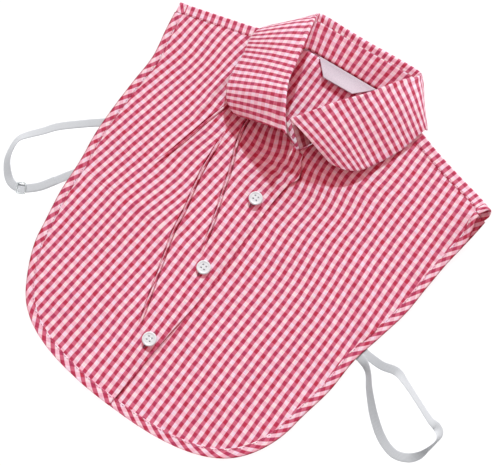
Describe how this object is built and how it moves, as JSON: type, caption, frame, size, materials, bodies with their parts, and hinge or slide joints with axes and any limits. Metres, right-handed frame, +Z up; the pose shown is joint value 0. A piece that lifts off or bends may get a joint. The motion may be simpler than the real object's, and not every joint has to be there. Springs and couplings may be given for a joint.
{
  "type": "bib collar",
  "caption": "Detachable shirt collar in gingham on a front and back bib joined at the shoulders, with round lower corners, a button placket and an elastic loop at each side.",
  "frame": {"origin": "middle of the whole part's box, on the surface it lies on", "axes": "+X to the viewer's right when the collar is at the top, which is the wearer's left; +Y from the hem towards the back of the neck; +Z up, out of the front"},
  "size_m": [0.41, 0.3604, 0.043],
  "materials": {
    "gingham": "matt yarn-dyed plain weave",
    "elastic": "matt woven elastic",
    "pearl": "polished",
    "clear_plastic": "polished, see-through",
    "label_tape": "smooth satin weave, blank"
  },
  "bodies": {
    "root": {"back_panel": "gingham", "front_right_panel": "gingham", "front_left_panel": "gingham", "shoulder_band_right": "gingham", "shoulder_band_left": "gingham", "back_binding": "gingham", "front_right_binding": "gingham", "front_left_binding": "gingham", "collar_stand": "gingham", "collar_leaf": "gingham", "button_1": "pearl", "button_2": "pearl", "button_3": "pearl", "strap_right": "elastic", "strap_right_tail": "elastic", "strap_left": "elastic", "strap_slider": "clear_plastic", "neck_label": "label_tape"}
  },
  "joints": []
}
